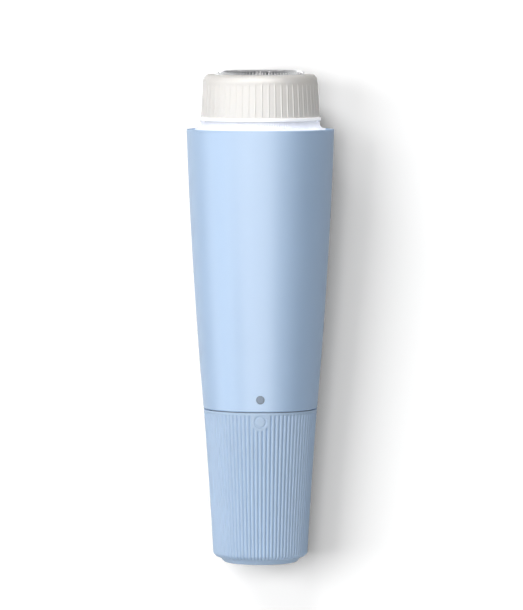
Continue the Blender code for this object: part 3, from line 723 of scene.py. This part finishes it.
def make_world(ambient=0.38, mirrored=0.22):
    """Pure white behind the object, a softer white for what lights it, and a darker one in its reflections,
    which darkens further overhead."""
    world = bpy.data.worlds.new("studio")
    world.use_nodes = True
    bpy.context.scene.world = world
    tree = world.node_tree
    seen = tree.nodes["Background"]
    seen.inputs["Strength"].default_value = 1.0
    seen.inputs["Color"].default_value = (1, 1, 1, 1)
    lighting = tree.nodes.new("ShaderNodeBackground")
    lighting.inputs["Color"].default_value = (1, 1, 1, 1)
    path = tree.nodes.new("ShaderNodeLightPath")
    strength = tree.nodes.new("ShaderNodeMapRange")
    strength.inputs["To Min"].default_value = ambient
    way = tree.nodes.new("ShaderNodeTexCoord")
    split = tree.nodes.new("ShaderNodeSeparateXYZ")
    above = tree.nodes.new("ShaderNodeMapRange")
    for name, value in zip(("From Min", "From Max", "To Min", "To Max"), (0.1, 0.6, mirrored, 0.03)):
        above.inputs[name].default_value = value
    tree.links.new(way.outputs["Generated"], split.inputs[0])
    tree.links.new(split.outputs[2], above.inputs["Value"])
    tree.links.new(above.outputs["Result"], strength.inputs["To Max"])
    tree.links.new(path.outputs["Is Glossy Ray"], strength.inputs["Value"])
    tree.links.new(strength.outputs["Result"], lighting.inputs["Strength"])
    mix = tree.nodes.new("ShaderNodeMixShader")
    tree.links.new(path.outputs["Is Camera Ray"], mix.inputs[0])
    tree.links.new(lighting.outputs[0], mix.inputs[1])
    tree.links.new(seen.outputs[0], mix.inputs[2])
    tree.links.new(mix.outputs[0], tree.nodes["World Output"].inputs["Surface"])


PAPER_SHADE = 0.12  # the sheet's own albedo: low, under strong lights of its own, so it takes no blue cast


def make_floor():
    """The pale sheet that the shaver lies against, touching its rim and foot. Only its front is seen, and it
    lets light through to the back of the object, but not to what lies in the object's own shadow."""
    clear_of = 0.35
    rim = (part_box("body_shell")[1].y / MM + clear_of, RIM_LEVEL)
    foot = (CHAMFER_R + clear_of, CHAMFER_LEVEL)
    lean = math.atan2(rim[0] - foot[0], rim[1] - foot[1])
    mesh = bpy.data.meshes.new("paper_floor")
    bm = bmesh.new()
    bmesh.ops.create_grid(bm, x_segments=8, y_segments=8, size=1.2)
    bm.to_mesh(mesh)
    bm.free()
    paper = bpy.data.objects.new("paper_floor", mesh)
    bpy.context.scene.collection.objects.link(paper)
    paper.location = Vector((0, (rim[0] + foot[0]) / 2, (rim[1] + foot[1]) / 2)) * MM
    paper.rotation_euler = (math.pi / 2 - lean, 0, 0)
    made = bpy.data.materials.new("paper")
    made.use_nodes = True
    tree = made.node_tree
    tree.nodes.remove(tree.nodes["Principled BSDF"])
    shader = tree.nodes.new("ShaderNodeBsdfDiffuse")
    shader.inputs["Color"].default_value = (PAPER_SHADE, PAPER_SHADE, PAPER_SHADE, 1)
    path, side = tree.nodes.new("ShaderNodeLightPath"), tree.nodes.new("ShaderNodeNewGeometry")
    clear, mix = tree.nodes.new("ShaderNodeBsdfTransparent"), tree.nodes.new("ShaderNodeMixShader")
    looked, seen, deep, solid = (tree.nodes.new("ShaderNodeMath") for _ in range(4))
    looked.operation = "MULTIPLY_ADD"
    seen.operation = "SUBTRACT"
    deep.operation = "GREATER_THAN"
    solid.operation = "MAXIMUM"
    seen.use_clamp = True
    deep.inputs[1].default_value = 1.5
    tree.links.new(path.outputs["Is Glossy Ray"], looked.inputs[0])
    looked.inputs[1].default_value = 0.3
    tree.links.new(path.outputs["Is Camera Ray"], looked.inputs[2])
    tree.links.new(looked.outputs[0], seen.inputs[0])
    tree.links.new(side.outputs["Backfacing"], seen.inputs[1])
    tree.links.new(path.outputs["Ray Depth"], deep.inputs[0])
    tree.links.new(seen.outputs[0], solid.inputs[0])
    tree.links.new(deep.outputs[0], solid.inputs[1])
    tree.links.new(solid.outputs[0], mix.inputs[0])
    tree.links.new(clear.outputs[0], mix.inputs[1])
    tree.links.new(shader.outputs[0], mix.inputs[2])
    tree.links.new(mix.outputs[0], tree.nodes["Material Output"].inputs["Surface"])
    mesh.materials.append(made)
    return paper


def make_camera():
    """A long lens a little above the handle's middle."""
    middle = 58.35
    rise, distance = math.radians(3.8), 1131.0
    camera = bpy.data.cameras.new("camera")
    camera.sensor_width = 36.0
    camera.lens = 294.3
    camera.clip_end = 20
    obj = bpy.data.objects.new("camera", camera)
    bpy.context.scene.collection.objects.link(obj)
    aim = Vector((0.25, 0, middle))
    obj.location = (aim + Vector((0, -distance * math.cos(rise), distance * math.sin(rise)))) * MM
    obj.rotation_euler = (math.pi / 2 - rise, 0, 0)
    bpy.context.scene.camera = obj


def softbox(name, azimuth, elevation, away_mm, size_mm, share):
    """A rectangular light round the handle's middle. Azimuth is to the right of the front, share the diffuse
    light that it gives a white surface square on to it."""
    middle = Vector((0, 0, 55))
    a, e = math.radians(azimuth), math.radians(elevation)
    place = middle + away_mm * Vector((math.sin(a) * math.cos(e), -math.cos(a) * math.cos(e), math.sin(e)))
    watts = share * math.pi**2 * (away_mm * MM) ** 2
    return area_light(name, place, middle, size_mm, watts)


KEY_AWAY, GLOSS_AWAY, BACK_AWAY, PAPER_AWAY = 700, 650, 600, 900  # each kind of light's distance


def make_studio():
    """A broad soft light from the left with fills, softboxes seen only as reflections, and a back light."""
    make_world()
    softbox("key_broad", -40, 12, KEY_AWAY, (520, 640), 0.40)
    for name, azimuth, elevation, size, share in (
        ("fill_top", -20, 70, (400, 400), 0.25),
        ("fill_low", -10, -50, (400, 300), 0.15),
    ):
        fill = softbox(name, azimuth, elevation, KEY_AWAY, size, share)
        fill.visible_glossy = False
    for name, azimuth, elevation, size, share in (
        ("gloss_front", -5, 8, (680, 1500), 2.2),
        ("gloss_right", 34, 8, (460, 1500), 0.64),
        ("gloss_left", -72, 4, (640, 1300), 1.8),
        ("gloss_over", -5, 46, (800, 240), 0.7),
        ("gloss_top", 0, 78, (340, 300), 0.28),
    ):
        sheen = softbox(name, azimuth, elevation, GLOSS_AWAY, size, share)
        sheen.visible_diffuse = False
    softbox("back_left", -140, 6, BACK_AWAY, (400, 700), 0.2)
    back_right = softbox("back_right", 140, 14, BACK_AWAY, (400, 400), 0.03)
    back_right.visible_glossy = False
    light_paper(make_floor())
    make_camera()
    bpy.context.scene.view_settings.view_transform = "Standard"


def light_paper(paper):
    """Lights that reach the paper alone, so it can be pure white round the shaver's soft shadow."""
    lit = bpy.data.collections.new("paper_only")
    lit.objects.link(paper)
    for name, azimuth, elevation, size, share in (
        ("paper_high", -30, 44, (640, 260), 0.48),
        ("paper_left", -47, 4, (800, 440), 0.76),
        ("paper_front", 2, 4, (510, 440), 0.50),
    ):
        light = softbox(name, azimuth, elevation, PAPER_AWAY, size, share / PAPER_SHADE)
        light.light_linking.receiver_collection = lit


def main():
    finish = finishes()
    make_shell(finish)
    make_base(finish)
    make_cap(finish)
    make_foil(finish)
    make_guide(finish)
    make_head_base(finish)
    make_cutter(finish)
    make_battery(finish)
    make_spring(finish)
    finish_frame(finish)
    make_studio()


main()
bpy.context.view_layer.update()
